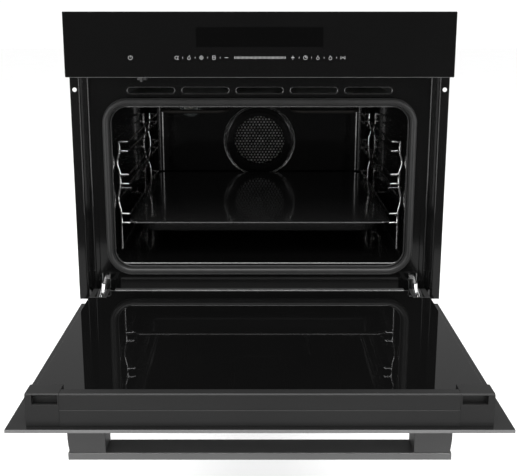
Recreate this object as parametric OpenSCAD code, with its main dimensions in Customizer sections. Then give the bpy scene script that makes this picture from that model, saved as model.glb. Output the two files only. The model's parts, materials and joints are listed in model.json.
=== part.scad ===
// Built-in compact wall oven with its drop-down door open.
// Origin: midway between the two fixing holes, on the front of the mounting flange.
// +X right, +Y into the housing, +Z up. The door opens towards -Y. Millimetres.

/* [Front] */
// Width of the control glass and the door glass
front_w = 595; // [594:0.5:598]
// Height from the top of the control glass to the bottom of the door
front_h = 466; // [464:1:466]
// Height of the control glass
panel_h = 99; // [98:1:101]
// Gap between the control glass and the door
door_gap = 5; // [4:1:6]
// How far the front glass stands ahead of the flange
front_stand = 20; // [18:1:22]
// Thickness of the front glass
glass_t = 4; // [3:0.5:5]
// Depth of the door recess behind the flange
recess_d = 28; // [26:1:30]
// Thickness of the enamelled front sheet
front_sheet = 1.5; // [1:0.1:2]

/* [Fixing] */
// Distance between the two fixing holes
hole_pitch = 578; // [576:1:580]
// Diameter of a fixing hole
hole_d = 7; // [6:0.5:7.5]
// Drop from the top of the control glass to the fixing holes
hole_drop = 120; // [118:1:124]

/* [Housing] */
// Width of the sheet housing
chassis_w = 560; // [558:1:562]
// Depth of the housing behind the flange
chassis_d = 547; // [545:1:560]
// Thickness of the galvanised housing sheet
sheet_t = 1; // [0.8:0.1:1.2]

/* [Cavity] */
// Inside width of the cavity
cavity_w = 480; // [476:2:484]
// Inside height of the cavity
cavity_h = 264; // [262:1:265]
// Drop from the top of the control glass to the cavity ceiling
cavity_drop = 150; // [150:1:152]
// Distance from the flange to the back wall
cavity_back_y = 435; // [435:1:440]
// Radius of the long cavity edges
cavity_r = 20; // [15:1:24]
// Radius of the upright rear corners
rear_r = 40; // [30:1:42]
// Thickness of the cavity sheet
cavity_sheet = 1.5; // [1:0.1:1.5]

/* [Seal] */
// Outer width of the door seal
seal_outer_w = 504; // [500:1:506]
// Outer height of the door seal
seal_outer_h = 294.5; // [292:0.5:296]
// Drop from the top of the control glass to the top of the seal
seal_drop = 135.5; // [135:0.5:137]
// Radius of the seal's tube
seal_r = 5.5; // [5:0.1:5.5]

/* [Vents] */
// Drop from the top of the control glass to the middle of the air slots
vent_drop = 124.2; // [124:0.1:125]
// Number of air slots above the seal
vent_count = 5; // [3:1:5]
// Length of an air slot
vent_w = 76; // [60:1:78]
// Height of an air slot
vent_h = 11; // [8:1:12]
// Distance from one air slot to the next
vent_pitch = 87; // [84:1:88]

/* [Fan] */
// Outer radius of the rear fan cover
cover_r = 78; // [77:1:80]
// Radius of the perforated disc
screen_r = 62; // [58:1:63]
// Height of the fan axis below the fixing holes
fan_drop = 159; // [155:1:162]
// Radius of the impeller
impeller_r = 58; // [48:1:60]
// Number of impeller blades
blade_count = 12; // [8:1:16]

/* [Racks and tray] */
// Diameter of the rack wire
wire_d = 4; // [3.5:0.1:4.5]
// Width of the tray over its rim
tray_w = 445; // [440:1:448]
// Depth of the tray over its rim
tray_d = 372; // [360:1:372]
// Height of the tray
tray_h = 24; // [20:1:28]

/* [Door] */
// Width of the door behind its outer glass
door_body_w = 549; // [546:1:549]
// Distance from the outer face of the door to its inner glass surface
door_t = 32; // [31:0.5:32]
// Distance from the outer face of the door to its hinge pin
pin_in = 25; // [24:1:26]
// Height of the hinge pin above the bottom edge of the door glass
pin_up = 7.5; // [7:0.5:8]

/* [Handle] */
// Length of the handle
handle_w = 461; // [440:1:470]
// Height of the handle bar, door closed
handle_h = 28.5; // [24:0.5:30]
// Thickness of the handle bar
handle_t = 9.5; // [8:0.5:12]
// How far the handle stands off the door glass
handle_out = 48.5; // [44:0.5:52]
// Width of a handle post
post_w = 45.5; // [40:0.5:50]

/* [Hidden] */

$fn = 48;
eps = 0.01;
// Radial play of a turning pin in its bore
run_gap = 0.05;

top_z = hole_drop;
bottom_z = hole_drop - front_h;
glass_y = -front_stand;
fascia_y = recess_d;
roof_z = top_z - 6;
floor_z = bottom_z + 2;
back_y = chassis_d;

cav_top = hole_drop - cavity_drop;
cav_bottom = cav_top - cavity_h;
cav_mid = (cav_top + cav_bottom) / 2;
cav_front = fascia_y - 1;

// Door seal: centre line of a round tube on a thin web
seal_w = seal_outer_w - 2 * seal_r;
seal_top = top_z - seal_drop - seal_r;
seal_bottom = top_z - seal_drop - seal_outer_h + seal_r;
seal_corner = 36;
seal_y = glass_y + door_t + seal_r + 0.4;

vent_z = top_z - vent_drop;
fan_z = -fan_drop;
cup_depth = 45;
fan_shaft_r = 4;
ring_r = 66;

// Heights of the lower wire of each rack level
tray_rim_z = hole_drop - 349;
rim_t = 1.2;
rim_corner = 16;
tray_y = 50;
level_gap = 16;
level_1 = tray_rim_z - rim_t - 0.3 - wire_d / 2;
rack_levels = [level_1, level_1 + 68, level_1 + 124];
rack_x = 234;
rung_x = 219;
rack_front = 55;
rack_rear = 385;

// Door hinge
pin_y = glass_y + pin_in;
pin_z = bottom_z + pin_up;
pin_r = 2.5;
hinge_x = 258;
arm_t = 4;
strap_len = 45;
strap_pin = [10, 10];
strap_lean = 8.5;
strap_hw = 2.2;
latch_pin = [16, 17];
latch_r = 1.5;

// Door layers, measured from the pin: outwards is negative
door_h = front_h - panel_h - door_gap;
outer_w = -pin_in;
body_w0 = outer_w + glass_t;
inner_w = door_t - pin_in;
glass_top = door_h - pin_up;
rail_u0 = 323.8;
rail_u1 = glass_top - 7.5;
// Between its caps the rail starts further out, and the inner glass reaches up to it
rail_mid_u0 = rail_u0 + 11;
rail_wall = 2;
ridge_w = inner_w + 13;
notch_u = 34;
notch_x = 246;
slot_x0 = 251.8;
slot_x1 = 266.5;
slot_u = 30.5;
cap_w = 40;
handle_u = glass_top - 19.5 - handle_h / 2;

// ---- helpers ----

// Extrudes an X-Z outline along Y from y0
module along_y(y0, depth) {
    translate([0, y0 + depth, 0]) rotate([90, 0, 0]) linear_extrude(depth) children();
}

// Extrudes a Y-Z outline along X from x0
module along_x(x0, width) {
    translate([x0, 0, 0]) rotate([90, 0, 90]) linear_extrude(width) children();
}

// A box from its low corner to its high corner
module block(low, high) {
    translate(low) cube(high - low);
}

module round_rect(w, h, r) {
    square([w - 2 * r, h], center = true);
    square([w, h - 2 * r], center = true);
    for (x = [-1, 1], y = [-1, 1]) translate([x * (w / 2 - r), y * (h / 2 - r)]) circle(r);
}

module stadium(w, h) {
    square([w - h, h], center = true);
    for (x = [-1, 1]) translate([x * (w - h) / 2, 0]) circle(h / 2);
}

// A straight rod from a to b
module rod(a, b, r) {
    v = b - a;
    translate(a) rotate([0, acos(v[2] / norm(v)), atan2(v[1], v[0])]) cylinder(r = r, h = norm(v));
}

module rod_y(x, z, r, y0, y1) {
    translate([x, y0, z]) rotate([-90, 0, 0]) cylinder(r = r, h = y1 - y0);
}

module rod_x(y, z, r, x0, x1) {
    translate([x0, y, z]) rotate([0, 90, 0]) cylinder(r = r, h = x1 - x0);
}

// Mirrors a right-hand piece to the left when side is -1
module on_side(side) {
    if (side > 0) children();
    else mirror([1, 0, 0]) children();
}

// Puts a door piece, drawn shut about the hinge pin, in its open place
module open_door() {
    translate([0, pin_y, pin_z]) rotate([90, 0, 0]) children();
}

function unit(v) = v / norm(v);

// Tangent of a path at point i
function path_dir(p, i) =
    unit(p[min(i + 1, len(p) - 1)] - p[max(i - 1, 0)]);

// First side direction of a ring, square to the tangent
function side_dir(t) = abs(t[2]) > 0.9 ? unit(cross(t, [1, 0, 0])) : unit(cross(t, [0, 0, 1]));

// Sweeps a round wire of n sides along a path
module wire(path, r, n = 8) {
    rings = len(path);
    points = [
        for (i = [0 : rings - 1])
            let (t = path_dir(path, i), a = side_dir(t), b = cross(t, a))
                for (k = [0 : n - 1])
                    path[i] + r * (cos(360 * k / n) * a + sin(360 * k / n) * b)
    ];
    sides = [
        for (i = [0 : rings - 2], k = [0 : n - 1], half = [0, 1])
            let (near = i * n, far = near + n, next = (k + 1) % n)
                half == 0 ? [near + k, near + next, far + next] : [near + k, far + next, far + k]
    ];
    first = [for (k = [0 : n - 1]) n - 1 - k];
    last = [for (k = [0 : n - 1]) (rings - 1) * n + k];
    polyhedron(points, concat([first], sides, [last]), convexity = 6);
}

// Points of an arc about a centre in the plane of u and v
function arc(c, u, v, r, a0, a1, steps) =
    [for (i = [0 : steps]) let (a = a0 + (a1 - a0) * i / steps) c + r * (cos(a) * u + sin(a) * v)];

// ---- control head ----

module control_glass() {
    color([0.03, 0.03, 0.035])
        along_y(glass_y, glass_t)
            translate([0, top_z - panel_h / 2]) round_rect(front_w, panel_h, 1.5);
}

display_z = top_z - 38;
board_z = top_z - 51;

module display_module() {
    color([0.06, 0.07, 0.08])
        along_y(glass_y + glass_t, 9) translate([0, display_z]) round_rect(193, 30, 2);
}

module control_board() {
    color([0.05, 0.25, 0.12])
        block([-230, glass_y + 14, board_z - 32], [230, glass_y + 15.6, board_z + 32]);
    color([0.12, 0.12, 0.13])
        for (x = [-150, -60, 70, 160])
            block([x - 14, glass_y + 15.6, board_z - 12], [x + 14, glass_y + 19, board_z + 12]);
}

module panel_carrier() {
    x = 276;
    color([0.10, 0.10, 0.11])
        difference() {
            block([-x, glass_y + glass_t, top_z - panel_h + 3], [x, fascia_y, top_z - 8]);
            block([-x + 2.5, glass_y + glass_t + 2.5, top_z - panel_h + 5.5],
                [x - 2.5, fascia_y + 1, top_z - 10.5]);
            block([-98, glass_y, display_z - 16], [98, glass_y + 10, display_z + 16]);
        }
}

// ---- front frame ----

module flange(side) {
    wall_out = chassis_w / 2 + 1.5;
    wall_in = wall_out - 5;
    z1 = top_z - panel_h - 1;
    color([0.05, 0.05, 0.055])
        on_side(side) {
            difference() {
                block([wall_out - eps, 0, bottom_z], [front_w / 2 - 1.5, front_sheet, z1]);
                rod_y(hole_pitch / 2, 0, hole_d / 2, -1, front_sheet + 1);
            }
            translate([0, 0, bottom_z + 2])
                linear_extrude(z1 - bottom_z - 2)
                    polygon([
                        [wall_out, 0], [wall_out, front_sheet],
                        [wall_in + front_sheet, fascia_y], [wall_in, fascia_y],
                        [wall_out - front_sheet, 0],
                    ]);
        }
}

module flange_left() flange(-1);
module flange_right() flange(1);

module fascia() {
    z0 = floor_z + 1;
    z1 = top_z - panel_h - 1;
    color([0.05, 0.05, 0.055])
        along_y(fascia_y, front_sheet)
            difference() {
                translate([0, (z0 + z1) / 2]) square([chassis_w - 4, z1 - z0], center = true);
                translate([0, cav_mid])
                    round_rect(cavity_w + 2 * cavity_sheet, cavity_h + 2 * cavity_sheet,
                        cavity_r + cavity_sheet);
                for (i = [0 : vent_count - 1])
                    translate([(i - (vent_count - 1) / 2) * vent_pitch, vent_z])
                        stadium(vent_w, vent_h);
                for (s = [-1, 1])
                    translate([s * hinge_x, pin_z + 13]) square([15, 27], center = true);
            }
}

// Tube on its web, drawn with the outside of the seal towards +X
module seal_section() {
    circle(seal_r);
    translate([-1.5, 0]) square([3, fascia_y - seal_y]);
}

module door_seal() {
    half_w = seal_w / 2 - seal_corner;
    half_h = (seal_top - seal_bottom) / 2 - seal_corner;
    color([0.20, 0.20, 0.21])
        translate([0, seal_y, (seal_top + seal_bottom) / 2]) {
            for (k = [0 : 3])
                rotate([0, 90 * k, 0])
                    translate([k % 2 == 0 ? half_w : half_h, 0, k % 2 == 0 ? half_h : half_w])
                        rotate([-90, -90, 0])
                            rotate_extrude(angle = 90)
                                translate([seal_corner, 0]) seal_section();
            for (k = [0 : 3])
                rotate([0, 90 * k, 0]) {
                    run = k % 2 == 0 ? half_h : half_w;
                    reach = k % 2 == 0 ? half_w : half_h;
                    translate([reach + seal_corner, 0, -run])
                        linear_extrude(2 * run) seal_section();
                }
        }
}

module door_sensor() {
    color([0.7, 0.7, 0.72]) {
        block([-192, 8, 14], [-178, fascia_y, 19]);
        block([-187, 4, 12], [-183, 8, 19]);
    }
}

// ---- cavity ----

module cavity_outline(grow = 0) {
    translate([0, cav_mid])
        round_rect(cavity_w + 2 * grow, cavity_h + 2 * grow, cavity_r + grow);
}

module cavity_wrapper() {
    color([0.04, 0.04, 0.045])
        along_y(cav_front, cavity_back_y - cav_front)
            difference() {
                cavity_outline(cavity_sheet);
                cavity_outline();
            }
}

// Upright rolled corner where a side wall meets the back wall
module rear_corner(side) {
    intersection() {
        translate([0, 0, cav_bottom])
            linear_extrude(cavity_h)
                on_side(side)
                    translate([cavity_w / 2 - rear_r, cavity_back_y - rear_r])
                        intersection() {
                            difference() {
                                circle(rear_r);
                                circle(rear_r - cavity_sheet);
                            }
                            square(rear_r);
                        }
        along_y(cavity_back_y - rear_r - 1, rear_r + 2) cavity_outline(-0.1);
    }
}

module cavity_back() {
    cup_r = cover_r - 4;
    color([0.04, 0.04, 0.045]) {
        difference() {
            along_y(cavity_back_y, cavity_sheet) cavity_outline(cavity_sheet);
            rod_y(0, fan_z, cup_r, cavity_back_y - 1, cavity_back_y + 3);
            rod_y(lamp_x, lamp_z, 16, cavity_back_y - 1, cavity_back_y + 3);
        }
        translate([0, cavity_back_y, fan_z])
            rotate([-90, 0, 0])
                rotate_extrude()
                    polygon([
                        [cup_r, 0], [cup_r + cavity_sheet, 0],
                        [cup_r + cavity_sheet, cup_depth + cavity_sheet],
                        [7, cup_depth + cavity_sheet], [7, cup_depth], [cup_r, cup_depth],
                    ]);
        for (s = [-1, 1]) rear_corner(s);
    }
}

// Pressed cover: two raised rings round a perforated disc
module fan_cover() {
    front = 8;
    t = 1.2;
    color([0.07, 0.07, 0.075])
        translate([0, cavity_back_y, fan_z])
            rotate([90, 0, 0])
                difference() {
                    rotate_extrude()
                        polygon([
                            [0, front - t], [screen_r, front - t], [screen_r + 3, 5], [70, 5],
                            [72, front - t - 1], [74, front - t - 1], [76, 0.1], [cover_r, 0.1],
                            [cover_r, t + 0.1], [77, t + 0.1], [74.5, front - 1], [71.5, front - 1],
                            [69.5, 5 + t], [screen_r + 3.5, 5 + t], [screen_r + 0.5, front],
                            [0, front],
                        ]);
                    for (ring = [0 : 5], k = [0 : max(6 * ring - 1, 0)])
                        rotate([0, 0, ring == 0 ? 0 : 60 * k / ring])
                            translate([10 * ring, 0, front - 3]) cylinder(d = 6, h = 5, $fn = 16);
                }
}

module convection_fan() {
    y0 = cavity_back_y + 12;
    color([0.55, 0.55, 0.56]) {
        rod_y(0, fan_z, impeller_r, y0 + 22, y0 + 23);
        rod_y(0, fan_z, 10, y0 - 2, y0 + 30);
        rod_y(0, fan_z, fan_shaft_r, y0 + 30, y0 + 68);
        for (k = [0 : blade_count - 1])
            translate([0, 0, fan_z])
                rotate([0, 360 / blade_count * k, 0])
                    block([9, y0, -0.6], [impeller_r - 1, y0 + 22.4, 0.6]);
    }
}

module fan_motor() {
    y0 = cavity_back_y + cup_depth + cavity_sheet;
    color([0.35, 0.36, 0.38])
        difference() {
            union() {
                rod_y(0, fan_z, 36, y0 + 12, y0 + 38);
                block([-45, y0 + 6, fan_z - 8], [45, y0 + 12, fan_z + 8]);
            }
            rod_y(0, fan_z, fan_shaft_r + run_gap, y0, y0 + 40);
        }
}

module ring_heater() {
    c = [0, cavity_back_y + 22, fan_z];
    turn = arc(c, [1, 0, 0], [0, 0, 1], ring_r, -255, 75, 44);
    lead = cavity_back_y + cup_depth - 0.2;
    path = concat([[turn[0][0], lead, turn[0][2]], [turn[0][0], c[1] + 6, turn[0][2]]], turn,
        [[turn[44][0], c[1] + 6, turn[44][2]], [turn[44][0], lead, turn[44][2]]]);
    color([0.25, 0.24, 0.23]) wire(path, 3.2);
}

// A flat serpentine of heater tube, its two ends turned back into the rear wall
module grill_element() {
    z = cav_top - 14;
    x = 165;
    y0 = 70;
    y1 = 330;
    bend = 22;
    runs = [-x, -x / 3, x / 3, x];
    path = concat(
        [[runs[0], cavity_back_y - 0.2, z], [runs[0], y1, z]],
        [[runs[0], y0 + bend, z]],
        arc([runs[0] + bend, y0 + bend, z], [-1, 0, 0], [0, -1, 0], bend, 0, 90, 5),
        arc([runs[1] - bend, y0 + bend, z], [0, -1, 0], [1, 0, 0], bend, 0, 90, 5),
        arc([runs[1] + bend, y1 - bend, z], [-1, 0, 0], [0, 1, 0], bend, 0, 90, 5),
        arc([runs[2] - bend, y1 - bend, z], [0, 1, 0], [1, 0, 0], bend, 0, 90, 5),
        arc([runs[2] + bend, y0 + bend, z], [-1, 0, 0], [0, -1, 0], bend, 0, 90, 5),
        arc([runs[3] - bend, y0 + bend, z], [0, -1, 0], [1, 0, 0], bend, 0, 90, 5),
        [[runs[3], y1, z], [runs[3], cavity_back_y - 0.2, z]]
    );
    color([0.25, 0.24, 0.23]) wire(path, 3.2);
}

module bottom_heater() {
    z = cav_bottom - cavity_sheet - 5;
    path = concat(
        [[-30, 430, z], [-30, 380, z], [-150, 380, z]],
        arc([-150, 330, z], [0, 1, 0], [-1, 0, 0], 50, 0, 90, 5),
        arc([-150, 130, z], [-1, 0, 0], [0, -1, 0], 50, 0, 90, 5),
        arc([150, 130, z], [0, -1, 0], [1, 0, 0], 50, 0, 90, 5),
        arc([150, 330, z], [1, 0, 0], [0, 1, 0], 50, 0, 90, 5),
        [[30, 380, z], [30, 430, z]]
    );
    color([0.25, 0.24, 0.23]) wire(path, 3.2);
}

// Oven light in the back wall, above the fan cover on the left
lamp_x = -150;
lamp_z = cav_top - 52;

module lamp_holder() {
    color([0.6, 0.6, 0.58])
        difference() {
            rod_y(lamp_x, lamp_z, 20, cavity_back_y + cavity_sheet, cavity_back_y + 50);
            rod_y(lamp_x, lamp_z, 17, cavity_back_y, cavity_back_y + 46);
        }
}

module lamp_bulb() {
    color([0.95, 0.9, 0.75])
        translate([lamp_x, 0, lamp_z])
            rotate([-90, 0, 0])
                rotate_extrude()
                    polygon([
                        [0, cavity_back_y + 4], [7, cavity_back_y + 7], [9, cavity_back_y + 14],
                        [8, cavity_back_y + 24], [6, cavity_back_y + 30],
                        [6, cavity_back_y + 46], [0, cavity_back_y + 46],
                    ]);
}

module lamp_cover() {
    y = cavity_back_y;
    color([0.8, 0.85, 0.85, 0.5])
        translate([lamp_x, y, lamp_z])
            rotate([90, 0, 0])
                rotate_extrude()
                    polygon([[0, 9], [17, 9], [23, 5], [24, 0.1], [21, 0.1], [20, 3], [16, 6], [0, 6]]);
}

module temperature_probe() {
    color([0.7, 0.7, 0.7]) {
        rod_y(110, cav_top - 16, 2.5, 340, cavity_back_y - eps);
        rod_y(110, cav_top - 16, 8, cavity_back_y - 3, cavity_back_y - eps);
    }
}

// ---- racks and tray ----

// One U-shaped rung: in from the front upright, back along the side, out to the rear upright
module rung(z) {
    r = wire_d / 2 - 0.2;
    bend = 5;
    for (y = [rack_front, rack_rear])
        rod([rung_x + bend, y, z], [rack_x + 1.2, y, z], r);
    rod([rung_x, rack_front + bend, z], [rung_x, rack_rear - bend, z], r);
    for (end = [0, 1])
        translate([rung_x + bend, end == 0 ? rack_front + bend : rack_rear - bend, z])
            rotate([0, 0, end == 0 ? 180 : 90])
                rotate_extrude(angle = 90) translate([bend, 0]) circle(r);
}

// An upright bows out to the wall between one level and the next
rack_foot = cav_bottom + 16;
rack_head = rack_levels[2] + level_gap + 1;
bow = 3.6;
upright_stops = [
    [rack_foot, 0], [rack_foot + 16, 0], [level_1 - 8, 0],
    [level_1 + level_gap + 4, 0], [level_1 + 36, bow], [level_1 + 46, bow],
    [rack_levels[1] - 5, 0], [rack_levels[1] + level_gap + 4, 0],
    [rack_levels[1] + 32, bow], [rack_levels[2] - 16, bow],
    [rack_levels[2] - 4, 0], [rack_head, 0],
];

module upright(y) {
    stops = [for (s = upright_stops) [rack_x + s[1], y, s[0]]];
    for (i = [1 : len(stops) - 1]) rod(stops[i - 1], stops[i], wire_d / 2);
    for (i = [1 : len(stops) - 2]) translate(stops[i]) sphere(wire_d / 2 + 0.03);
}

module rack(side) {
    color([0.75, 0.75, 0.76])
        on_side(side) {
            for (level = rack_levels, lift = [0, level_gap]) rung(level + lift);
            for (y = [rack_front, rack_rear]) upright(y);
            rod([rack_x, rack_front + 1, rack_foot + 4], [rack_x, rack_rear - 1, rack_foot + 4], 1.7);
            rod([rack_x + bow, rack_front + 1, level_1 + 41],
                [rack_x + bow, rack_rear - 1, level_1 + 41], 1.7);
            for (y = [130, 320])
                translate([rack_x - 4, y, level_1 + 41])
                    rotate([0, 90, 0]) cylinder(r = 5, h = cavity_w / 2 - rack_x + 4 - eps, $fn = 24);
        }
}

module rack_left() rack(-1);
module rack_right() rack(1);

module tray_plan(grow, r) {
    translate([0, tray_y + tray_d / 2]) round_rect(tray_w + 2 * grow, tray_d + 2 * grow, r);
}

module tray_bowl(grow, z0, z1) {
    hull() {
        translate([0, 0, z1]) linear_extrude(0.1) tray_plan(grow - 11, 38, $fn = 40);
        translate([0, 0, z0]) linear_extrude(0.1) tray_plan(grow - 24, 34, $fn = 40);
    }
}

module baking_tray() {
    bottom = tray_rim_z - tray_h;
    color([0.05, 0.05, 0.055])
        difference() {
            union() {
                translate([0, 0, tray_rim_z - rim_t]) linear_extrude(rim_t) tray_plan(0, rim_corner);
                tray_bowl(0, bottom, tray_rim_z - 0.3);
            }
            tray_bowl(-rim_t, bottom + rim_t, tray_rim_z + 0.2);
        }
}

// ---- insulation and housing ----

module insulation_wrap() {
    color([0.85, 0.8, 0.55])
        along_y(fascia_y + 4, 396)
            difference() {
                translate([0, cav_mid + 1]) square([cavity_w + 44, cavity_h + 30], center = true);
                cavity_outline(cavity_sheet + 0.3);
                translate([0, cav_bottom - 6.5]) square([420, 10], center = true);
            }
}

module insulation_rear() {
    y0 = cavity_back_y + cavity_sheet + 1;
    color([0.85, 0.8, 0.55])
        along_y(y0, 30)
            difference() {
                translate([0, cav_mid]) square([cavity_w + 20, cavity_h + 10], center = true);
                translate([0, fan_z]) circle(cover_r + 2);
                translate([lamp_x, lamp_z]) circle(22);
            }
}

// Width of an air slot in the housing sheets
slot_w = 6;

module side_panel(side) {
    louvre_y = 380;
    louvre_pitch = 18;
    louvre_drop = [60, 20];
    color([0.72, 0.73, 0.74])
        on_side(side)
            difference() {
                block([chassis_w / 2 - sheet_t, fascia_y - 7, floor_z],
                    [chassis_w / 2, back_y, roof_z]);
                for (i = [0 : 5]) {
                    y = louvre_y + louvre_pitch * i;
                    block([chassis_w / 2 - 2, y, roof_z - louvre_drop[0]],
                        [chassis_w / 2 + 1, y + slot_w, roof_z - louvre_drop[1]]);
                }
            }
}

module side_panel_left() side_panel(-1);
module side_panel_right() side_panel(1);

module base_plate() {
    x = chassis_w / 2 - sheet_t;
    color([0.72, 0.73, 0.74])
        block([-x, fascia_y, floor_z], [x, back_y - sheet_t, floor_z + sheet_t]);
}

module top_cover() {
    x = chassis_w / 2 - sheet_t;
    slot_pitch = 24;
    slot_y0 = 470;
    slot_y1 = 520;
    color([0.72, 0.73, 0.74])
        difference() {
            block([-x, fascia_y, roof_z - sheet_t], [x, back_y - sheet_t, roof_z]);
            for (i = [-6 : 6])
                translate([i * slot_pitch, (slot_y0 + slot_y1) / 2, roof_z])
                    cube([slot_w, slot_y1 - slot_y0, 4 * sheet_t], center = true);
        }
}

inlet_x = 200;
inlet_z = 78;
inlet_r = 5.5;
inlet_len = 24;
inlet_hole_r = 12.3;
// Air slots of the back panel: pitch, height of their middle, length
grille = [26, 20, 44];

module back_panel() {
    x = chassis_w / 2 - sheet_t;
    color([0.72, 0.73, 0.74])
        along_y(back_y - sheet_t, sheet_t)
            difference() {
                translate([0, (roof_z + floor_z) / 2]) square([2 * x, roof_z - floor_z], center = true);
                translate([inlet_x, inlet_z]) circle(inlet_hole_r);
                for (i = [-7 : 7]) translate([i * grille[0], grille[1]])
                    square([slot_w, grille[2]], center = true);
            }
}

module cable_inlet() {
    color([0.06, 0.06, 0.06])
        difference() {
            union() {
                rod_y(inlet_x, inlet_z, 12, back_y - 18, back_y);
                rod_y(inlet_x, inlet_z, 15, back_y - 6, back_y - sheet_t - eps);
                rod_y(inlet_x, inlet_z, 14.5, back_y, back_y + inlet_len - 18);
            }
            rod_y(inlet_x, inlet_z, inlet_r, back_y - 19, back_y + inlet_len);
        }
}

module terminal_block() {
    y1 = back_y - 24;
    color([0.85, 0.84, 0.8]) {
        block([inlet_x - 38, y1 - 22, inlet_z - 16], [inlet_x + 38, y1, inlet_z + 4]);
        for (i = [-2 : 2])
            block([inlet_x + 13 * i - 6, y1 - 22, inlet_z], [inlet_x + 13 * i + 6, y1, inlet_z + 9]);
    }
}

// ---- cooling air ----

duct_x = 216;
duct_z0 = vent_z - 9;
duct_z1 = vent_z + 9;
blower_y = 400;

module air_duct() {
    color([0.68, 0.69, 0.7])
        along_y(fascia_y + front_sheet, blower_y - 90 - fascia_y)
            difference() {
                translate([0, vent_z]) square([2 * duct_x, duct_z1 - duct_z0], center = true);
                translate([0, vent_z]) square([2 * duct_x - 2, duct_z1 - duct_z0 - 2], center = true);
            }
}

module blower_housing() {
    z0 = duct_z0;
    z1 = duct_z0 + 52;
    r = 84;
    color([0.68, 0.69, 0.7])
        difference() {
            translate([0, blower_y, z0]) cylinder(r = r, h = z1 - z0);
            translate([0, blower_y, z0 + 1]) cylinder(r = r - 1, h = z1 - z0 - 2);
            translate([0, blower_y, z1 - 3]) cylinder(r = 46, h = 5);
            block([-60, blower_y - r - 5, z0 + 1], [60, blower_y - 40, z0 + 17]);
        }
}

module blower_wheel() {
    z0 = duct_z0 + 8;
    color([0.5, 0.5, 0.52])
        translate([0, blower_y, z0]) {
            cylinder(r = 70, h = 1);
            cylinder(r = 11, h = 20);
            cylinder(r = 3, h = 78);
            for (k = [0 : 23]) rotate([0, 0, 15 * k]) block([56, -0.6, 1], [69, 0.6, 34]);
            difference() {
                translate([0, 0, 34]) cylinder(r = 69.5, h = 1.2);
                translate([0, 0, 33]) cylinder(r = 56, h = 4);
            }
        }
}

module blower_motor() {
    z0 = duct_z0 + 60;
    color([0.35, 0.36, 0.38])
        difference() {
            union() {
                translate([0, blower_y, z0]) cylinder(r = 28, h = 24);
                block([-78, blower_y - 7, z0 + 2], [78, blower_y + 7, z0 + 5]);
                for (s = [-1, 1])
                    block([s > 0 ? 74 : -78, blower_y - 7, duct_z0 + 52.1],
                        [s > 0 ? 78 : -74, blower_y + 7, z0 + 5]);
            }
            translate([0, blower_y, z0 - 1]) cylinder(r = 3 + run_gap, h = 30);
        }
}

module power_board() {
    z0 = duct_z1 + 10;
    color([0.05, 0.25, 0.12]) block([-230, 70, z0], [-90, 230, z0 + 1.6]);
    color([0.1, 0.1, 0.1]) {
        block([-220, 85, z0 + 1.6], [-190, 125, z0 + 26]);
        block([-175, 85, z0 + 1.6], [-145, 105, z0 + 18]);
        block([-130, 85, z0 + 1.6], [-105, 145, z0 + 30]);
        for (k = [0 : 3])
            translate([-210 + 24 * k, 190, z0 + 1.6]) cylinder(r = 8, h = 22);
    }
}

// ---- hinges ----

// Fixed arm: hooked in the housing, carrying the door's pin and the strap's pin
module hinge_arm(side) {
    x0 = hinge_x - arm_t / 2;
    color([0.78, 0.78, 0.8])
        on_side(side) translate([0, pin_y, pin_z]) {
            along_x(x0, arm_t) {
                circle(7);
                polygon([
                    [-1, -7], [6, -5], [20, 3], [84, 3], [84, 25], [78, 25], [78, 18],
                    [60, 18], [60, 24], [30, 24], [22, 21], [10, 15], [4, 14], [-6, 3],
                ]);
            }
            rod_x(0, 0, pin_r, x0 - 4, x0 + arm_t + 6);
            rod_x(strap_pin[0], strap_pin[1], 2, x0 + arm_t - eps, x0 + arm_t + 2.6);
            rod_x(latch_pin[0], latch_pin[1], latch_r, x0 - 2.6, x0 + eps);
        }
    color([0.6, 0.6, 0.62])
        on_side(side) {
            y0 = fascia_y + front_sheet + 0.1;
            for (x = [hinge_x - 7, hinge_x + 5.5])
                block([x, y0, pin_z - 2], [x + 1.5, pin_y + 88, pin_z + 29]);
            block([hinge_x - 7, y0, pin_z + 27.5], [hinge_x + 7, pin_y + 88, pin_z + 29]);
            block([hinge_x - 7, y0 + 20, pin_z + 2.9 - 1.5], [hinge_x + 7, pin_y + 88, pin_z + 2.9]);
        }
}

module hinge_arm_left() hinge_arm(-1);
module hinge_arm_right() hinge_arm(1);

// Small flip-over lever that locks the arm when the door is taken off
module hinge_latch(side) {
    x0 = hinge_x - arm_t / 2 - 2.2;
    tab_out = 4.4;
    color([0.85, 0.85, 0.86])
        on_side(side) translate([0, pin_y, pin_z]) {
            difference() {
                along_x(x0, 1.8) {
                    translate(latch_pin) circle(4);
                    polygon([[5, 15], [16, 13], [19, 18.5], [19, 25], [5, 22]]);
                }
                rod_x(latch_pin[0], latch_pin[1], latch_r + run_gap, x0 - 1, x0 + 3);
            }
            along_x(x0 - tab_out, tab_out + 1.8)
                polygon([[8.5, 21.2], [12, 22], [19, 23.6], [19, 25], [12, 23.6], [8.5, 22.8]]);
        }
}

module hinge_latch_left() hinge_latch(-1);
module hinge_latch_right() hinge_latch(1);

// Strap from the arm's pin into the door, where its end rides in the hinge body
module hinge_strap(side) {
    reach = sqrt(strap_len * strap_len - pow(strap_pin[1] + strap_lean, 2));
    x0 = hinge_x + arm_t / 2 + 0.4;
    tip = strap_pin + [-reach, -strap_pin[1] - strap_lean];
    angle = atan2(tip[1] - strap_pin[1], tip[0] - strap_pin[0]);
    color([0.85, 0.85, 0.86])
        on_side(side) translate([0, pin_y, pin_z])
            difference() {
                along_x(x0, 1.8) {
                    translate(strap_pin) circle(4.4);
                    translate(tip) circle(strap_hw + 0.6);
                    translate(strap_pin) rotate(angle)
                        translate([0, -strap_hw]) square([strap_len, 2 * strap_hw]);
                }
                rod_x(strap_pin[0], strap_pin[1], 2 + run_gap, x0 - 1, x0 + 3);
            }
}

module hinge_strap_left() hinge_strap(-1);
module hinge_strap_right() hinge_strap(1);

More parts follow.
